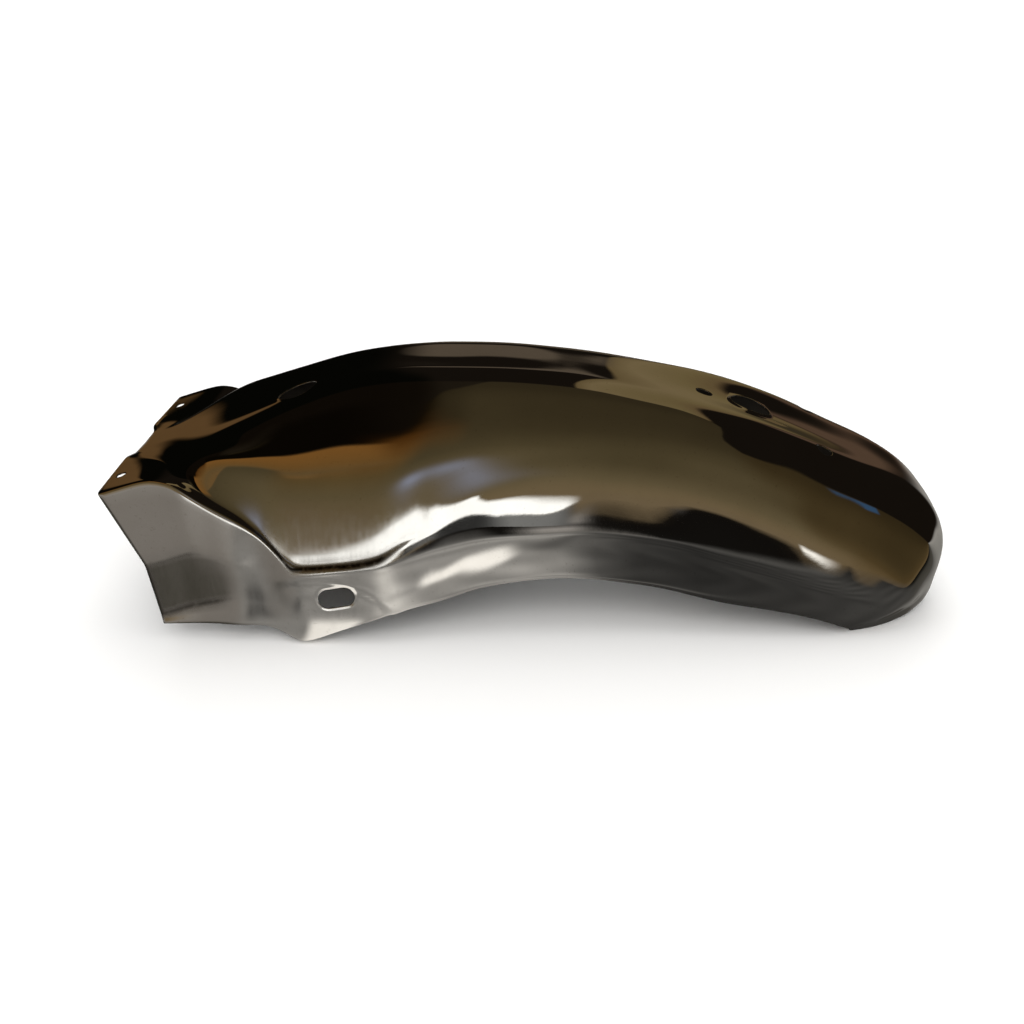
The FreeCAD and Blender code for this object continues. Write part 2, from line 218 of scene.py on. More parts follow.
def skin(u, v, slopes=False):
    iu, bu, du = weights(POLES.shape[0], u)
    iv, bv, dv = weights(POLES.shape[1], v)
    g = POLES[(iu[:, None] + np.arange(4))[:, :, None], (iv[:, None] + np.arange(4))[:, None, :]]
    s = np.einsum("na,nb,nabc->nc", bu, bv, g)
    if not slopes:
        return s
    return s, np.einsum("na,nb,nabc->nc", du, bv, g), np.einsum("na,nb,nabc->nc", bu, dv, g)


def normals(su, sv):
    n = np.cross(su, sv)
    return n / (np.linalg.norm(n, axis=1, keepdims=True) + 1e-12) * TURN


TURN = 1.0
_s, _a, _b = skin(np.array([0.5]), np.array([0.5]), True)
TURN = 1.0 if normals(_a, _b)[0, 2] > 0 else -1.0


def spread(n, lines, bend, pick):
    """n values of one parameter, closer together where the skin bends."""
    t = np.linspace(0, 1, 3001)
    total = np.zeros(3000)
    for c in lines:
        p = skin(*pick(t, np.full_like(t, c)))
        d = np.diff(p, axis=0)
        ds = np.linalg.norm(d, axis=1)
        w = d / np.maximum(ds[:, None], 1e-12)
        turn = np.r_[0, np.arccos(np.clip((w[1:] * w[:-1]).sum(1), -1, 1))]
        total += ds / ds.sum() + bend * turn / max(turn.sum(), 1e-9)
    c = np.r_[0, np.cumsum(total)]
    # a small even share keeps the lines from bunching up
    c = c / c[-1]
    return np.interp(np.linspace(0, 1, n), c, t)


NU, NV = 256, 176
US = spread(NU, (0.5, 0.35, 0.25, 0.15, 0.06), 0.35, lambda t, c: (t, c))
VS = spread(NV, np.linspace(0.03, 0.97, 20), 0.75, lambda t, c: (c, t))
VS = (VS + 1 - VS[::-1]) / 2
EDGE = 0.3                                   # how far the sheet's cut edges are rounded


def back_off(lines, pick):
    """The first and last line stand back from the cut edge by EDGE."""
    t = np.array([1e-3])
    for end in (0, -1):
        x = 0.0 if end == 0 else 1.0
        step = 1e-3 if end == 0 else -1e-3
        c = np.linspace(0.05, 0.95, 19)
        a = skin(*pick(np.full_like(c, x), c))
        b = skin(*pick(np.full_like(c, x + step), c))
        lines[end] = x + step * EDGE / np.median(np.linalg.norm(b - a, axis=1))
    return lines


US = back_off(US, lambda t, c: (t, c))
VS = back_off(VS, lambda t, c: (c, t))


# ---------------------------------------------------------------- holes
def newton(u, v, p0, e1, e2, a, b):
    """Parameters of the skin points that lie at a and b along e1 and e2 from p0."""
    u, v = np.array(u, float), np.array(v, float)
    for _ in range(25):
        s, su, sv = skin(u, v, True)
        d = s - p0
        f, g = d @ e1 - a, d @ e2 - b
        j11, j12, j21, j22 = su @ e1, sv @ e1, su @ e2, sv @ e2
        det = j11 * j22 - j12 * j21
        u = np.clip(u - np.clip((f * j22 - g * j12) / det, -0.02, 0.02), 0, 1)
        v = np.clip(v - np.clip((g * j11 - f * j21) / det, -0.02, 0.02), 0, 1)
    return u, v


def nearest(x, y, z):
    uu, vv = np.meshgrid(np.linspace(0, 1, 300), np.linspace(0, 1, 300), indexing="ij")
    p = skin(uu.ravel(), vv.ravel())
    k = np.argmin(((p - [x, y, z]) ** 2).sum(1))
    return uu.ravel()[k], vv.ravel()[k]


class Hole:
    """A round hole drilled square to the skin, or a slot cut straight across the guard."""

    def __init__(self, x, y, z, r, margin, lip=0.0, lip_width=0.0, slot=None, rings=(0.9, 1.7)):
        x += SHIFT_X
        u, v = nearest(x, y, z)
        if slot:
            c, s = math.cos(math.radians(slot[1])), math.sin(math.radians(slot[1]))
            self.e1, self.e2 = np.array([c, 0, s]), np.array([-s, 0, c])
            self.p0 = np.array([x, y, z])
            self.half = slot[0]
        else:
            ex, ey = np.array([1.0, 0, 0]), np.array([0, 1.0, 0])
            (u,), (v,) = newton([u], [v], np.array([x, y, 0.0]), ex, ey, np.zeros(1), np.zeros(1))
            p, su, sv = skin(np.array([u]), np.array([v]), True)
            n = normals(su, sv)[0]
            self.p0 = p[0]
            self.e1 = ex - n * n[0]
            self.e1 /= np.linalg.norm(self.e1)
            self.e2 = np.cross(n, self.e1)
            self.half = 0.0
        (self.u,), (self.v,) = newton([u], [v], self.p0, self.e1, self.e2, np.zeros(1), np.zeros(1))
        self.r, self.margin, self.lip, self.lip_width = r, margin, lip, lip_width
        self.rings = rings

    def outline(self, angle, grow):
        """Parameters of the points at these angles on the hole's outline, grown by grow."""
        r = self.r + grow
        c, s = np.cos(angle), np.sin(angle)
        k = r / np.maximum(np.abs(s), 1e-9)
        flat = np.abs(k * c) <= self.half
        h = self.half * np.sign(c)
        arc = h * c + np.sqrt(np.maximum(r * r - (h * s) ** 2, 0))
        d = np.where(flat, k, arc)
        u, v = np.full_like(angle, self.u), np.full_like(angle, self.v)
        for f in (0.4, 0.75, 1.0):
            u, v = newton(u, v, self.p0, self.e1, self.e2, d * c * f, d * s * f)
        return u, v

    def angle(self, u, v):
        d = skin(u, v) - self.p0
        return np.arctan2(d @ self.e2, d @ self.e1)


HOLES = [
    Hole(LAMP_X, 0, 144, 15.0, 3.2, lip=1.5, lip_width=3.0, rings=(0.35, 0.75, 1.2, 1.7, 2.2, 2.8)),
    Hole(LAMP_FRONT_X, 0, 153, 6.0, 2.0),
    Hole(HARNESS_X, HARNESS_Y, 163.9, 14.25, 3.0, lip=0.35, lip_width=2.0, rings=(0.4, 0.9, 1.5, 2.2)),
]
for _y in (-1, 1):
    HOLES += [
        Hole(LAMP_REAR_X, _y * LAMP_REAR_Y, 128.3, 6.0, 2.4),
        Hole(SHELF_HOLE_X, _y * SHELF_HOLE_Y, 117, 4.0, 2.2),
        Hole(SLOT_X, _y * 100.0, SLOT_Z, SLOT_W / 2, 3.0, lip=-0.5, lip_width=2.4, slot=((SLOT_L - SLOT_W) / 2, SLOT_TILT),
             rings=(0.4, 0.9, 1.5, 2.2)),
    ]


# ---------------------------------------------------------------- the mesh
def build_sheet():
    gu, gv = np.meshgrid(US, VS, indexing="ij")
    uu, vv, rise = [gu.ravel()], [gv.ravel()], [np.zeros(NU * NV)]
    count = NU * NV
    grid = np.arange(NU * NV).reshape(NU, NV)
    keep = np.ones((NU - 1, NV - 1), bool)
    quads, loops = [], []

    def add(u, v, h):
        nonlocal count
        uu.append(u)
        vv.append(v)
        rise.append(h)
        count += len(u)
        return np.arange(count - len(u), count)

    def band(a, b):
        return np.stack([a, np.roll(a, -1), np.roll(b, -1), b], 1)

    for hole in HOLES:
        t = np.linspace(0, 2 * math.pi, 48, endpoint=False)
        u, v = hole.outline(t, hole.margin)
        i0, i1 = np.searchsorted(US, u.min(), "right") - 1, np.searchsorted(US, u.max(), "left")
        j0, j1 = np.searchsorted(VS, v.min(), "right") - 1, np.searchsorted(VS, v.max(), "left")
        assert keep[i0:i1, j0:j1].all(), "two holes share cells"
        keep[i0:i1, j0:j1] = False
        ring = np.concatenate([grid[i0:i1, j0], grid[i1, j0:j1], grid[i1:i0:-1, j1], grid[i0, j1:j0:-1]])
        bu, bv = gu.ravel()[ring], gv.ravel()[ring]
        ang = hole.angle(bu, bv)

        def height(grow):
            if not hole.lip_width:
                return 0.0
            x = np.clip(1 - grow / hole.lip_width, 0, 1)
            return hole.lip * x * x * (3 - 2 * x)

        outer = ring
        rings = sorted(hole.rings, reverse=True)
        cu, cv = hole.outline(ang, rings[0])
        for f in (0.35, 0.7):
            now = add(bu + (cu - bu) * f, bv + (cv - bv) * f, np.zeros(len(ring)))
            quads.append(band(outer, now))
            outer = now
        for grow in rings + [EDGE]:
            cu, cv = hole.outline(ang, grow)
            now = add(cu, cv, np.full(len(ring), height(grow)))
            quads.append(band(outer, now))
            outer = now
        eu, ev = hole.outline(ang, 0.0)
        loops.append((outer, eu, ev, np.full(len(ring), height(0.0))))
    i, j = np.nonzero(keep)
    quads.append(np.stack([grid[i, j], grid[i + 1, j], grid[i + 1, j + 1], grid[i, j + 1]], 1))
    rim = np.concatenate([grid[:-1, 0], grid[-1, :-1], grid[:0:-1, -1], grid[0, :0:-1]])
    ru, rv = gu.ravel()[rim].copy(), gv.ravel()[rim].copy()
    ru[ru == US[0]], ru[ru == US[-1]] = 0.0, 1.0
    rv[rv == VS[0]], rv[rv == VS[-1]] = 0.0, 1.0
    loops.append((rim, ru, rv, np.zeros(len(rim))))

    uu, vv, rise = np.concatenate(uu), np.concatenate(vv), np.concatenate(rise)
    quads = np.concatenate(quads)

    def place(u, v, h, depth):
        s, su, sv = skin(u, v, True)
        n = normals(su, sv)
        return s + n * (h + waves(s) - depth)[:, None]

    pts = [place(uu, vv, rise, np.zeros(len(uu))), place(uu, vv, rise, np.full(len(uu), SHEET))]
    inside = [np.zeros(len(uu)), np.ones(len(uu))]
    n = len(uu)
    faces = [quads, quads[:, ::-1] + n]
    total = 2 * n
    for ids, u, v, h in loops:
        a = place(u, v, h, np.full(len(u), EDGE))
        b = place(u, v, h, np.full(len(u), SHEET - EDGE))
        m = len(u)
        ia, ib = np.arange(total, total + m), np.arange(total + m, total + 2 * m)
        total += 2 * m
        pts += [a, b]
        inside += [np.full(m, 0.3), np.full(m, 0.7)]
        for p, q in ((ids, ia), (ia, ib), (ib, ids + n)):
            faces.append(band(p, q))
    pts, inside = np.concatenate(pts), np.concatenate(inside)
    faces = np.concatenate(faces)
    used = np.zeros(len(pts), bool)
    used[faces.ravel()] = True
    new = np.cumsum(used) - 1
    return pts[used] / 1000.0, new[faces], inside[used]


DRAW_X = np.array([-190.0, -160.0, -137.0, -107.0, -80.0, -44.0])
DRAW = np.array([0.0, 0.7, 0.8, 0.85, 0.3, 0.0])
FOOT_X = np.array([-205.4, -189.4, -177.4, -165.4, -137.4, -109.4, -87.4, -67.4, -34.4])
FOOT_Z = np.array([100.8, 88.8, 73.8, 60.5, 62.5, 68.6, 80.6, 89.5, 108.0])


def waves(s):
    """The slight unevenness of a pressed sheet, in millimetres."""
    x, y, z = s[:, 0], s[:, 1], s[:, 2]
    w = 0.05 * np.sin(x / 19.0 + 0.6 * np.sin(z / 23.0)) * np.sin(z / 17.0 + 0.4)
    w += 0.06 * np.sin(x / 41.0 + y / 37.0 + 1.3) * np.cos(z / 33.0 - 0.5)
    w += 0.03 * np.sin(x / 11.0 - z / 14.0 + 2.1 * np.sin(y / 29.0))
    # shallow round seat pressed into each pad
    r = np.hypot((x + 152.0) / 58.0, (z - 4.0) / 46.0)
    t = np.clip((1.045 - r) / 0.10, 0.0, 1.0)
    f = np.clip((x + 186.0) / 22.0, 0.0, 1.0)
    w -= 1.0 * t * t * (3 - 2 * t) * f * f * (3 - 2 * f) * (np.abs(y) > 91.0)
    # the side draws in slightly just above the pads
    foot = curve_at(FOOT_X, FOOT_Z, np.clip(x, FOOT_X[0], FOOT_X[-1]))
    q = np.clip(1.0 - (z - foot) / np.interp(x, [-140, -105], [9.5, 15.0]), 0.0, 1.0)
    f = np.clip((z - foot + 6.0) / 5.0, 0.0, 1.0)
    a = curve_at(DRAW_X, DRAW, np.clip(x, DRAW_X[0], DRAW_X[-1]))
    w -= a * q * q * f * f * (3 - 2 * f) * (np.abs(y) > 80.0)
    return w


def make_object(name, pts, faces):
    me = bpy.data.meshes.new(name)
    me.vertices.add(len(pts))
    me.vertices.foreach_set("co", pts.astype(np.float32).ravel())
    me.loops.add(faces.size)
    me.loops.foreach_set("vertex_index", faces.astype(np.int32).ravel())
    me.polygons.add(len(faces))
    me.polygons.foreach_set("loop_start", np.arange(0, faces.size, 4, dtype=np.int32))
    me.polygons.foreach_set("loop_total", np.full(len(faces), 4, np.int32))
    me.update(calc_edges=True)
    me.validate()
    bm = bmesh.new()
    bm.from_mesh(me)
    bmesh.ops.recalc_face_normals(bm, faces=bm.faces)
    bm.to_mesh(me)
    bm.free()
    me.shade_smooth()
    ob = bpy.data.objects.new(name, me)
    bpy.context.scene.collection.objects.link(ob)
    return ob


pts, faces, inside = build_sheet()
guard = make_object("mudguard_sheet", pts, faces)
layer = guard.data.attributes.new("inside", "FLOAT", "POINT")
layer.data.foreach_set("value", inside.astype(np.float32))
# painted shade: a darker band in the crease above each pad
mm = pts * 1000.0
deep = mm[:, 2] - curve_at(FOOT_X, FOOT_Z, np.clip(mm[:, 0], FOOT_X[0], FOOT_X[-1])) + np.interp(mm[:, 0], [-137, -109], [1.8, 4.0])
crease_shade = np.exp(-(deep / np.interp(mm[:, 0], [-137, -109], [2.0, 3.2])) ** 2) * np.interp(mm[:, 0], [-190, -176, -104, -88], [0, 1, 1, 0]) * (np.abs(mm[:, 1]) > 88.0)
# and painted shade along the fold, the foot and the front edge of the sunk facet of each front panel
fold = np.interp(mm[:, 0], [-267.4, -255.4, -244.4, -232.4, -220.4], [62, 65, 69, 72, 70])
foot = np.interp(mm[:, 0], [-263.4, -252.4, -242.4, -231.4, -219.4, -205.4], [19, 22.5, 26, 29, 32, 35.9])
edge = np.interp(mm[:, 2], [19, 62], [-263.4, -267.4])
facet = 0.8 * np.exp(-((mm[:, 2] - foot) / 2.2) ** 2) * np.interp(mm[:, 0], [-222, -208], [1, 0])
facet = np.maximum(facet, 0.4 * np.exp(-((mm[:, 2] - fold) / 1.5) ** 2) * np.interp(mm[:, 0], [-234, -226], [1, 0]))
facet = np.maximum(facet, 0.8 * np.exp(-((mm[:, 0] - edge) / 2.6) ** 2) * np.interp(mm[:, 2], [14, 20, 58, 62], [0, 1, 1, 0]))
crease_shade = np.maximum(crease_shade, facet * (mm[:, 0] < -200) * (np.abs(mm[:, 1]) > 85.0))
# painted shade in these creases and along these edges, kept per point for the chrome material
layer = guard.data.attributes.new("painted_shade", "FLOAT", "POINT")
layer.data.foreach_set("value", crease_shade.astype(np.float32))
print("sheet:", len(pts), "points", len(faces), "faces", "box", pts.min(0), pts.max(0))


# ---------------------------------------------------------------- the room that the chrome mirrors
def surroundings(o, phi, s):
    """Colour in each direction. phi turns from straight ahead (0) over the top (90) to straight behind (180), in degrees;
    s runs from -100 (front end) to 100 (tail)."""
    # khaki room in front, dark ground below its edge
    ground = o.curve(s, [(-100, -10), (7, -10), (11, -10.8), (20, -12), (32, -13), (48, -13.2), (60, -23), (80, -50), (100, -60)])
    over = o.sub(phi, ground)
    room = o.ramp(over, [(-70, 66, 65, 62), (-22, 40, 39, 36), (-10, 20, 19, 17), (-1.0, 15, 13, 11), (0.4, 104, 90, 68), (4, 104, 90, 66),
                         (14, 92, 81, 58), (38, 71, 62, 42), (62, 57, 49, 32), (85, 46, 39, 25), (120, 42, 36, 24)])
    dull = o.mix(o.mul(o.step(s, 38, 60), 0.8), room, o.ramp(over, [(-70, 74, 72, 66), (-26, 60, 58, 52), (-10, 24, 24, 20), (-1.0, 16, 14, 11),
                                                                     (0.6, 90, 74, 48), (14, 70, 55, 30), (34, 61, 49, 28), (70, 50, 40, 22), (120, 42, 34, 19)]))
    grey = o.mul(o.step(over, 0.5, -0.8), o.step(s, 7.8, 4.6))
    dull = o.mix(grey, dull, o.ramp(over, [(-40, 96, 93, 88), (-14, 128, 124, 118), (-6, 146, 142, 137), (-3.4, 84, 81, 78), (-1.8, 132, 128, 123), (0, 118, 112, 104)]))
    streak = o.mul(o.mul(o.step(over, -0.4, 0.3), o.step(over, 1.6, 0.5)), o.mul(o.step(s, 31, 34), o.step(s, 46, 37)))
    front = o.mix(streak, dull, (252, 249, 241))
    blue = o.mul(o.mul(o.step(phi, 34, 39), o.step(phi, 48, 44)), o.mul(o.step(s, 68, 70), o.step(s, 76, 74)))
    front = o.mix(blue, front, (46, 70, 96))
    # orange and black room towards the front end
    left = o.ramp(phi, [(-90, 56, 54, 50), (-52, 58, 56, 50), (-43, 66, 63, 57), (-37, 111, 107, 102), (-24, 115, 110, 104), (-14, 128, 124, 118),
                        (-7, 118, 106, 88), (-2, 98, 84, 62), (8, 86, 75, 52), (22, 84, 69, 42), (36, 92, 68, 36), (46, 86, 58, 26), (52, 70, 43, 15),
                        (56, 17, 10, 3), (74, 9, 7, 3), (90, 5, 4, 2)])
    front = o.mix(o.step(s, -4, -24), front, left)
    shade = o.curve(s, [(-100, 52), (-26, 54), (-19, 58), (-12, 68), (-6, 80), (0, 90), (100, 96)])
    front = o.mix(o.step(o.sub(phi, shade), -2.5, 2.5), front, o.mix(o.step(s, -28, -8), (13, 9, 5), (28, 23, 16)))
    # behind: dark, with a board, a pale strip and a warm patch
    back = o.mix(o.step(s, -14, -26), (19, 15, 11), (5, 5, 3))
    back = o.mix(o.mul(o.step(phi, 166, 171), o.mul(o.step(s, -20, -9), o.step(s, 15.5, 14.5))), back, (76, 67, 56))
    board = o.mul(o.mul(o.step(s, 13.6, 14.6), o.step(s, 35, 32)), o.mul(o.step(phi, 70, 76), o.step(phi, 188, 176)))
    back = o.mix(board, back, o.ramp(s, [(13, 84, 70, 45), (18, 107, 93, 66), (27, 99, 86, 57), (34, 88, 72, 49)]))
    pink = o.mul(o.mul(o.step(s, 33, 36), o.step(s, 44, 40)), o.step(phi, 160, 168))
    back = o.mix(pink, back, (77, 60, 47))
    shelf = o.mul(o.step(s, -41, -43), o.mul(o.step(phi, 156, 164), o.step(s, -56, -48)))
    back = o.mix(shelf, back, (84, 62, 37))
    low = o.step(phi, 183, 200)
    back = o.mix(low, back, o.ramp(phi, [(183, 84, 79, 73), (192, 146, 143, 138), (208, 128, 126, 121), (238, 84, 82, 79), (270, 58, 57, 55)]))
    top = o.curve(s, [(-100, 88), (20, 88), (26, 84), (32, 74), (38, 62), (50, 52), (65, 48), (75, 46), (90, 42), (100, 40)])
    return o.mix(o.step(o.sub(phi, top), -1.5, 1.5), front, back)


# ---------------------------------------------------------------- node helpers
def lin(c):
    return tuple(x / 12.92 if x <= 0.04045 else ((x + 0.055) / 1.055) ** 2.4 for x in (v / 255.0 for v in c))


class Nodes:
    """Small sums of shader nodes."""

    def __init__(self, tree):
        self.tree = tree

    def new(self, kind):
        return self.tree.nodes.new("ShaderNode" + kind)

    def put(self, socket, value):
        if isinstance(value, bpy.types.NodeSocket):
            self.tree.links.new(value, socket)
        elif isinstance(value, (tuple, list)) and len(value) == 3 and socket.type == "RGBA":
            socket.default_value = (*value, 1.0)
        else:
            socket.default_value = value

    def math(self, op, *values, clamp=False):
        n = self.new("Math")
        n.operation, n.use_clamp = op, clamp
        for s, v in zip(n.inputs, values):
            self.put(s, v)
        return n.outputs[0]

    def add(self, a, b):
        return self.math("ADD", a, b)

    def sub(self, a, b):
        return self.math("SUBTRACT", a, b)

    def mul(self, a, b):
        return self.math("MULTIPLY", a, b)

    def step(self, x, a, b):
        n = self.new("MapRange")
        n.interpolation_type = "SMOOTHSTEP"
        flip = b < a
        for s, v in zip(n.inputs[:5], (x, min(a, b), max(a, b), 1.0 if flip else 0.0, 0.0 if flip else 1.0)):
            self.put(s, v)
        return n.outputs[0]

    def span(self, x, a, b, c=0.0, d=1.0):
        n = self.new("MapRange")
        for s, v in zip(n.inputs[:5], (x, a, b, c, d)):
            self.put(s, v)
        return n.outputs[0]

    def mix(self, f, a, b):
        n = self.new("Mix")
        n.data_type, n.clamp_factor = "RGBA", True
        self.put(n.inputs[0], f)
        self.put(n.inputs[6], lin(a) if isinstance(a, tuple) else a)
        self.put(n.inputs[7], lin(b) if isinstance(b, tuple) else b)
        return n.outputs[2]

    def ramp(self, x, stops):
        lo, hi = stops[0][0], stops[-1][0]
        n = self.new("ValToRGB")
        self.put(n.inputs[0], self.span(x, lo, hi))
        e = n.color_ramp.elements
        while len(e) < len(stops):
            e.new(0.5)
        for k, s in zip(e, stops):
            k.position = (s[0] - lo) / (hi - lo)
            k.color = (*lin(s[1:]), 1.0)
        return n.outputs[0]

    def curve(self, x, stops):
        lo, hi = stops[0][0], stops[-1][0]
        low, high = min(s[1] for s in stops), max(s[1] for s in stops)
        n = self.new("ValToRGB")
        self.put(n.inputs[0], self.span(x, lo, hi))
        e = n.color_ramp.elements
        while len(e) < len(stops):
            e.new(0.5)
        for k, s in zip(e, stops):
            k.position = (s[0] - lo) / (hi - lo)
            k.color = (*[(s[1] - low) / (high - low)] * 3, 1.0)
        return self.span(n.outputs[0], 0.0, 1.0, low, high)


# ---------------------------------------------------------------- chrome
def chrome():
    mat = bpy.data.materials.new("chrome_plate")
    mat.use_nodes = True
    tree = mat.node_tree
    tree.nodes.clear()
    o = Nodes(tree)
    out = o.new("OutputMaterial")
    bsdf = o.new("BsdfPrincipled")
    tree.links.new(bsdf.outputs[0], out.inputs[0])
    bsdf.inputs["Metallic"].default_value = 1.0
    where = o.new("TexCoord").outputs["Object"]
    xyz = o.new("SeparateXYZ")
    tree.links.new(where, xyz.inputs[0])
    x, y, z = xyz.outputs
    side = o.new("Attribute")
    side.attribute_name = "inside"
    inner = o.step(side.outputs["Fac"], 0.45, 0.9)

    def noise(scale, detail, rough, stretch=None):
        n = o.new("TexNoise")
        n.inputs["Scale"].default_value = scale
        n.inputs["Detail"].default_value = detail
        n.inputs["Roughness"].default_value = rough
        if stretch:
            m = o.new("Mapping")
            m.inputs["Scale"].default_value = stretch
            tree.links.new(where, m.inputs[0])
            tree.links.new(m.outputs[0], n.inputs["Vector"])
        else:
            tree.links.new(where, n.inputs["Vector"])
        return n.outputs[0]

    # the low front sides are satin, the rest is bright
    front = o.step(x, -0.02, -0.14)
    low = o.step(z, 0.125, 0.085)
    satin = o.mul(front, low)
    smear = noise(26.0, 4.0, 0.6)
    fine = noise(420.0, 3.0, 0.65)
    drawn = noise(60.0, 3.0, 0.6, (6.0, 6.0, 0.5))
    rough = o.add(0.016, o.mul(o.span(smear, 0.45, 0.75), 0.03))
    rough = o.add(rough, o.mul(satin, o.add(0.06, o.mul(drawn, 0.14))))
    rough = o.add(rough, o.mul(inner, o.add(0.22, o.mul(smear, 0.25))))
    # painted shade in the creases: the point attribute, broken up by noise, darkens the base colour and adds roughness
    shade_mask = o.new("Attribute")
    shade_mask.attribute_name = "painted_shade"
    shade_mask = o.mul(shade_mask.outputs["Fac"], o.span(noise(190.0, 3.0, 0.6), 0.2, 0.5, 0.55, 1.0))
    rough = o.add(rough, o.mul(shade_mask, 0.4))
    tree.links.new(rough, bsdf.inputs["Roughness"])
    bright = o.mix(o.span(smear, 0.3, 0.8), (238, 236, 233), (226, 223, 219))
    bright = o.mix(o.mul(o.span(fine, 0.62, 0.72), 0.5), bright, (206, 202, 196))
    dull = o.mix(o.span(smear, 0.35, 0.7), (96, 92, 88), (64, 59, 55))
    # painted shade: near-black brown base colour in the creases and along the facet edges
    bright = o.mix(shade_mask, bright, (44, 39, 34))
    tree.links.new(o.mix(inner, bright, dull), bsdf.inputs["Base Color"])
    bump = o.new("Bump")
    bump.inputs["Strength"].default_value = 1.0
    bump.inputs["Distance"].default_value = 0.00002
    height = o.add(o.mul(noise(34.0, 2.0, 0.5), 1.2), o.add(o.mul(fine, 0.10), o.mul(o.mul(drawn, satin), 0.5)))
    tree.links.new(o.add(height, o.mul(o.mul(inner, noise(900.0, 2.0, 0.5)), 1.5)), bump.inputs["Height"])
    tree.links.new(bump.outputs[0], bsdf.inputs["Normal"])
    return mat


guard.data.materials.append(chrome())
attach(guard, "root")
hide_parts(NODE)


# ---------------------------------------------------------------- floor, backdrop, light
def plain(name, colour, glow=None):
    mat = bpy.data.materials.new(name)
    mat.use_nodes = True
    tree = mat.node_tree
    tree.nodes.clear()
    o = Nodes(tree)
    out = o.new("OutputMaterial")
    if glow is None:
        s = o.new("BsdfDiffuse")
        s.inputs["Color"].default_value = (*lin(colour), 1.0)
    else:
        s = o.new("Emission")
        s.inputs["Color"].default_value = (*lin(colour), 1.0)
        s.inputs["Strength"].default_value = glow
    tree.links.new(s.outputs[0], out.inputs[0])
    return mat


def stage_mesh(name, verts, polys, mat):
    me = bpy.data.meshes.new(name)
    me.from_pydata(verts, [], polys)
    me.materials.append(mat)
    ob = bpy.data.objects.new(name, me)
    bpy.context.scene.collection.objects.link(ob)
    return ob


R = 14.0
floor = stage_mesh("floor", [(-R, -R, -0.0002), (R, -R, -0.0002), (R, R, -0.0002), (-R, R, -0.0002)], [(0, 1, 2, 3)],
                   plain("floor_white", (246, 246, 245)))
floor.visible_glossy = False
ring = [(13.0 * math.cos(a), 13.0 * math.sin(a)) for a in np.linspace(0, 2 * math.pi, 96, endpoint=False)]
backdrop = stage_mesh("backdrop", [(a, b, -0.5) for a, b in ring] + [(a, b, 9.0) for a, b in ring],
                      [(i, (i + 1) % 96, 96 + (i + 1) % 96, 96 + i) for i in range(96)], plain("backdrop_white", (252, 252, 251), 1.0))
for flag in ("visible_diffuse", "visible_glossy", "visible_transmission", "visible_shadow"):
    setattr(backdrop, flag, False)

def card(name, verts, polys, lit):
    """Lit card that only the chrome mirrors; lit is its brightness at each corner."""
    mat = bpy.data.materials.new(name)
    mat.use_nodes = True
    tree = mat.node_tree
    tree.nodes.clear()
    o = Nodes(tree)
    glow, clear, blend = o.new("Emission"), o.new("BsdfTransparent"), o.new("MixShader")
    shade = o.new("Attribute")
    shade.attribute_name = "lit"
    cover = o.new("Attribute")
    cover.attribute_name = "cover"
    tree.links.new(shade.outputs["Color"], glow.inputs["Color"])
    tree.links.new(cover.outputs["Fac"], blend.inputs[0])
    tree.links.new(clear.outputs[0], blend.inputs[1])
    tree.links.new(glow.outputs[0], blend.inputs[2])
    tree.links.new(blend.outputs[0], o.new("OutputMaterial").inputs[0])
    ob = stage_mesh(name, verts, polys, mat)
    colour = ob.data.attributes.new("lit", "FLOAT_COLOR", "POINT")
    colour.data.foreach_set("color", [k for c in lit for k in (*lin(c[:3]), 1.0)])
    part = ob.data.attributes.new("cover", "FLOAT", "POINT")
    part.data.foreach_set("value", [c[3] for c in lit])
    for flag in ("visible_camera", "visible_diffuse", "visible_transmission", "visible_shadow"):
        setattr(ob, flag, False)
    return ob


def sheet_card(name, us, vs, place, tone):
    verts = [place(u, v) for u in us for v in vs]
    n = len(vs)
    polys = [(i * n + j, (i + 1) * n + j, (i + 1) * n + j + 1, i * n + j + 1) for i in range(len(us) - 1) for j in range(n - 1)]
    return card(name, verts, polys, [tone(u, v) for u in us for v in vs])


def ease(x, a, b):
    t = min(max((x - a) / (b - a), 0.0), 1.0)
    return t * t * (3 - 2 * t)


# low strip light in front of the guard, thinner and dimmer towards the front end
def strip_tone(u, z):
    bottom = float(np.interp(u, [-0.28, -0.09, -0.06, -0.040, -0.024, -0.006, 0.005, 0.024, 0.041, 0.058],
                             [-0.010, -0.010, 0.010, 0.030, 0.036, 0.022, 0.020, 0.030, 0.040, 0.046]))
    top = float(np.interp(u, [-0.28, -0.235, -0.21, -0.195, -0.16, -0.11, -0.07, -0.045, -0.037, -0.027, -0.02, -0.006, 0.005, 0.024, 0.041, 0.058],
                          [0.034, 0.040, 0.046, 0.053, 0.068, 0.086, 0.093, 0.098, 0.100, 0.096, 0.077, 0.053, 0.047, 0.0435, 0.042, 0.044]))
    fade = float(np.interp(u, [-0.2, -0.1, -0.02, 0.01], [0.009, 0.013, 0.011, 0.015]))
    over = ease(z, bottom - 0.0015, bottom + 0.0015)
    white = over * (1.0 - ease(z, top - 0.003, top + fade))
    under = (1.0 - over) * ease(u, -0.03, -0.02)
    k = float(np.interp(u, [-0.3, -0.25, -0.2, -0.1], [190, 250, 275, 285]))
    below = float(np.interp(u, [-0.02, -0.004, 0.004, 0.012, 0.03, 0.05], [36, 50, 92, 122, 118, 70]))
    k = (k * white + below * under) / max(white + under, 1e-6)
    return (k, k, k * 0.985, max(white, under) * ease(u, -0.28, -0.245) * (1.0 - ease(u, 0.034, 0.052)))


sheet_card("strip_light", [float(x) for x in np.linspace(-0.28, 0.058, 130)], [float(x) for x in np.linspace(0.0, 0.118, 80)],
           lambda u, z: (u, -0.45, z), strip_tone)


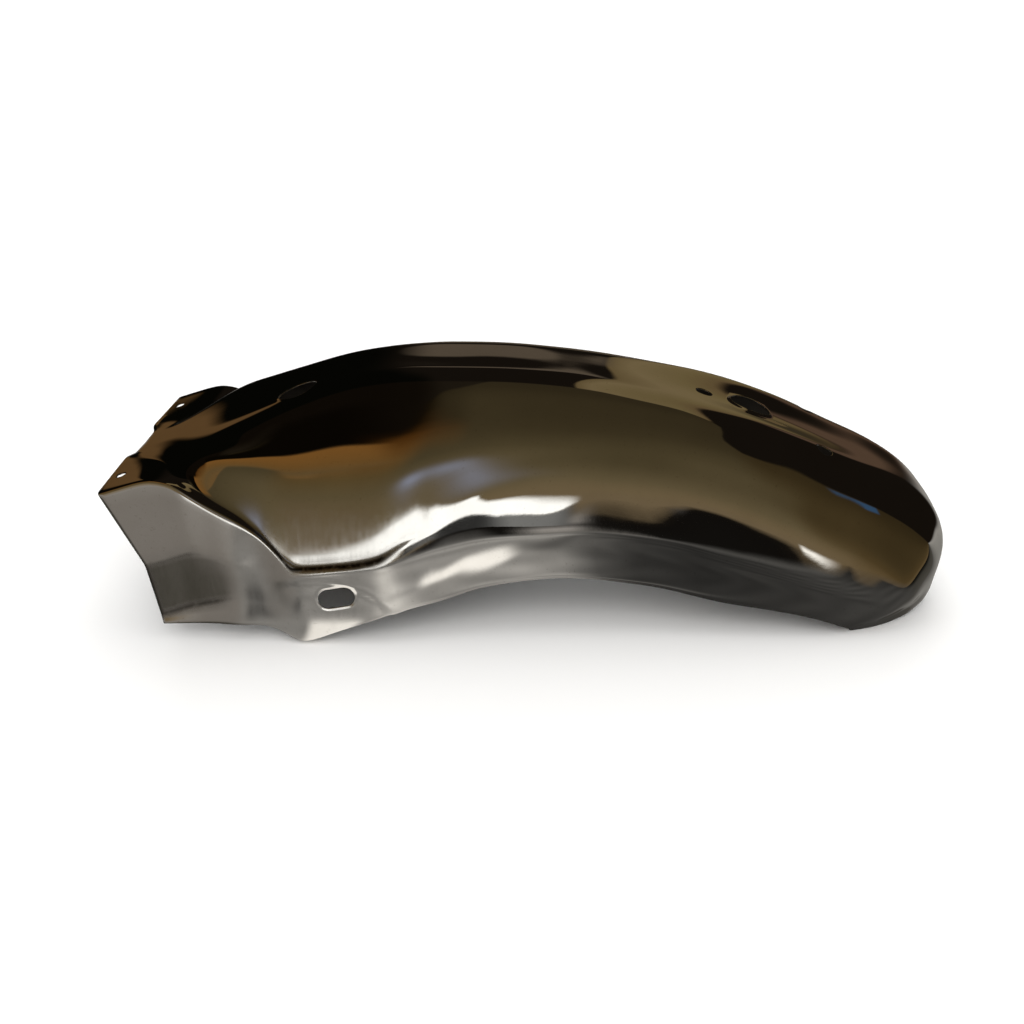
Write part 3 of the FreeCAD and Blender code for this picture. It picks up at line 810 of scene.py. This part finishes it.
# ground beside the guard: bright at the pad and the middle, dark towards the tail
def ground_tone(u, v):
    k = float(np.interp(u, [-0.5, -0.2, -0.17, -0.14, -0.118, -0.094, -0.078, -0.06, -0.045, -0.02, 0.0, 0.03, 0.055, 0.08, 0.12, 0.2, 0.3],
                        [120, 134, 144, 138, 158, 216, 216, 168, 150, 158, 168, 152, 86, 58, 48, 58, 72]))
    k *= 0.95 + 0.08 * math.sin(61.0 * u + 38.0 * v) * math.sin(173.0 * v - 21.0 * u)
    low = ease(v, -0.142, -0.128) * ease(u, -0.170, -0.158) * (1.0 - ease(u, -0.132, -0.118))
    k = k + (262 - k) * 0.95 * low
    lit = math.exp(-((u + 0.168) / 0.016) ** 2 - ((v + 0.218) / 0.008) ** 2)
    k = k + (250 - k) * 0.9 * lit
    off = (v + 0.2134 + 1.23 * (u + 0.014)) / 0.0105
    spot = math.exp(-off ** 4) * ease(u, -0.056, -0.042) * (1.0 - ease(u, -0.012, 0.004))
    k = k + (275 - k) * 0.95 * spot
    dark = math.exp(-((u - 0.025) / 0.03) ** 2 - ((v + 0.235) / 0.016) ** 2)
    k = k + (70 - k) * 0.7 * dark
    streak = math.exp(-((u - 0.085) / 0.045) ** 2 - ((v + 0.147 - 0.1 * (u - 0.085)) / 0.006) ** 2)
    k = k + (128 - k) * 0.7 * streak
    groove = math.exp(-((u + 0.193) / 0.0085) ** 2 - ((v + 0.151 + 0.75 * (u + 0.193)) / 0.013) ** 2)
    k = k + (60 - k) * 0.8 * groove
    far = ease(v, -0.27, -0.31)
    k = k + (104 - k) * far
    edge = ease(v, -0.34, -0.27) + (1.0 - ease(v, -0.34, -0.27)) * ease(v, -0.44, -0.42) * (1.0 - ease(u, -0.03, 0.0))
    cover = edge * (1.0 - ease(v, -0.07, -0.03)) * ease(u, -0.235, -0.185) * (1.0 - ease(u, 0.28, 0.36))
    return (k, k * 0.985, k * 0.955, max(cover, min(1.0, 1.4 * groove)))


sheet_card("ground_card", [float(x) for x in np.linspace(-0.24, 0.36, 300)], [float(x) for x in np.linspace(-0.44, -0.03, 240)],
           lambda u, v: (u, v, -0.0004), ground_tone)


# warm light over the front end, dark above it
def warm_tone(u, v):
    warm = [float(np.interp(v, [-0.44, -0.34, -0.27, -0.2], c)) for c in ([112, 98, 108, 120], [84, 78, 78, 82], [48, 48, 40, 38])]
    d = ease(v, -0.203, -0.190)
    tone = [a + (b - a) * d for a, b in zip(warm, (9, 6, 3))]
    near = float(np.interp(u, [-0.24, -0.21], [-0.42, -0.32]))
    return (*tone, ease(u, -0.36, -0.32) * (1.0 - ease(u, -0.19, -0.14)) * ease(v, near - 0.03, near + 0.03) * (1.0 - ease(v, -0.15, -0.11)))


sheet_card("warm_card", [float(x) for x in np.linspace(-0.36, -0.14, 60)], [float(x) for x in np.linspace(-0.46, -0.1, 150)],
           lambda u, v: (u, v, 0.3), warm_tone)


# pale wall low behind the middle of the crown
def wall_tone(u, z):
    low = float(np.interp(u, [-0.14, -0.09, -0.05, -0.01, 0.03, 0.06, 0.08, 0.1], [0.256, 0.258, 0.259, 0.258, 0.2565, 0.251, 0.2475, 0.244]))
    return (84, 74, 62, ease(u, -0.16, -0.1) * (1.0 - ease(u, 0.07, 0.1)) * ease(z, low - 0.003, low + 0.003) * (1.0 - ease(z, low + 0.013, low + 0.018)))


sheet_card("wall_card", [float(x) for x in np.linspace(-0.16, 0.1, 60)], [float(x) for x in np.linspace(0.235, 0.285, 60)],
           lambda u, z: (u, 0.25, z), wall_tone)


# faint blue window light on the middle of the side
def window_tone(u, v):
    return (136, 141, 158, 0.85 * math.exp(-((u + 0.066) / 0.052) ** 2 - ((v - 0.2) / 0.055) ** 2))


sheet_card("window_card", [float(x) for x in np.linspace(-0.2, 0.08, 60)], [float(x) for x in np.linspace(0.06, 0.34, 50)],
           lambda u, v: (u, -0.6, v), window_tone)

for name, energy, tilt, turn in (("soft_light", 2.7, 8, 0), ("low_front", 1.9, 66, 0), ("low_back", 1.3, 66, 180)):
    sun = bpy.data.objects.new(name, bpy.data.lights.new(name, "SUN"))
    sun.data.energy = energy
    sun.data.angle = math.radians(110 if tilt < 30 else 60)
    sun.rotation_euler = (math.radians(tilt), 0, math.radians(turn))
    sun.visible_glossy = False
    bpy.context.scene.collection.objects.link(sun)

world = bpy.data.worlds.new("room")
bpy.context.scene.world = world
world.use_nodes = True
tree = world.node_tree
tree.nodes.clear()
o = Nodes(tree)
direction = o.new("SeparateXYZ")
tree.links.new(o.new("TexCoord").outputs["Generated"], direction.inputs[0])
dx, dy, dz = direction.outputs
phi = o.mul(o.math("ARCTAN2", dz, o.mul(dy, -1.0)), 180.0 / math.pi)
phi = o.add(phi, o.mul(o.math("LESS_THAN", phi, -120.0), 360.0))
light = o.new("Background")
tree.links.new(surroundings(o, phi, o.mul(dx, 100.0)), light.inputs["Color"])
light.inputs["Strength"].default_value = 1.15
tree.links.new(light.outputs[0], o.new("OutputWorld").inputs[0])

# ---------------------------------------------------------------- camera
ELEV, TURNED, ROLL, FOCAL, AWAY = math.radians(24.0), math.radians(2.9), math.radians(-0.6), 1300.0, 0.975
aim = Vector((SHIFT_X / 1000.0, 0.0, 0.060))
back = Vector((math.sin(TURNED) * math.cos(ELEV), -math.cos(TURNED) * math.cos(ELEV), math.sin(ELEV)))
right = (-back).cross(Vector((0, 0, 1))).normalized()
up = right.cross(-back)
right, up = math.cos(ROLL) * right + math.sin(ROLL) * up, -math.sin(ROLL) * right + math.cos(ROLL) * up
cam = bpy.data.objects.new("camera", bpy.data.cameras.new("camera"))
cam.data.sensor_width = 36.0
cam.data.lens = 36.0 * FOCAL / 1024.0
cam.data.clip_start, cam.data.clip_end = 0.01, 60.0
place = Matrix((right, up, back)).transposed().to_4x4()
place.translation = aim + back * AWAY
cam.matrix_world = place
bpy.context.scene.collection.objects.link(cam)
bpy.context.scene.camera = cam
bpy.context.scene.view_settings.view_transform = "Standard"
bpy.context.scene.view_settings.look = "None"
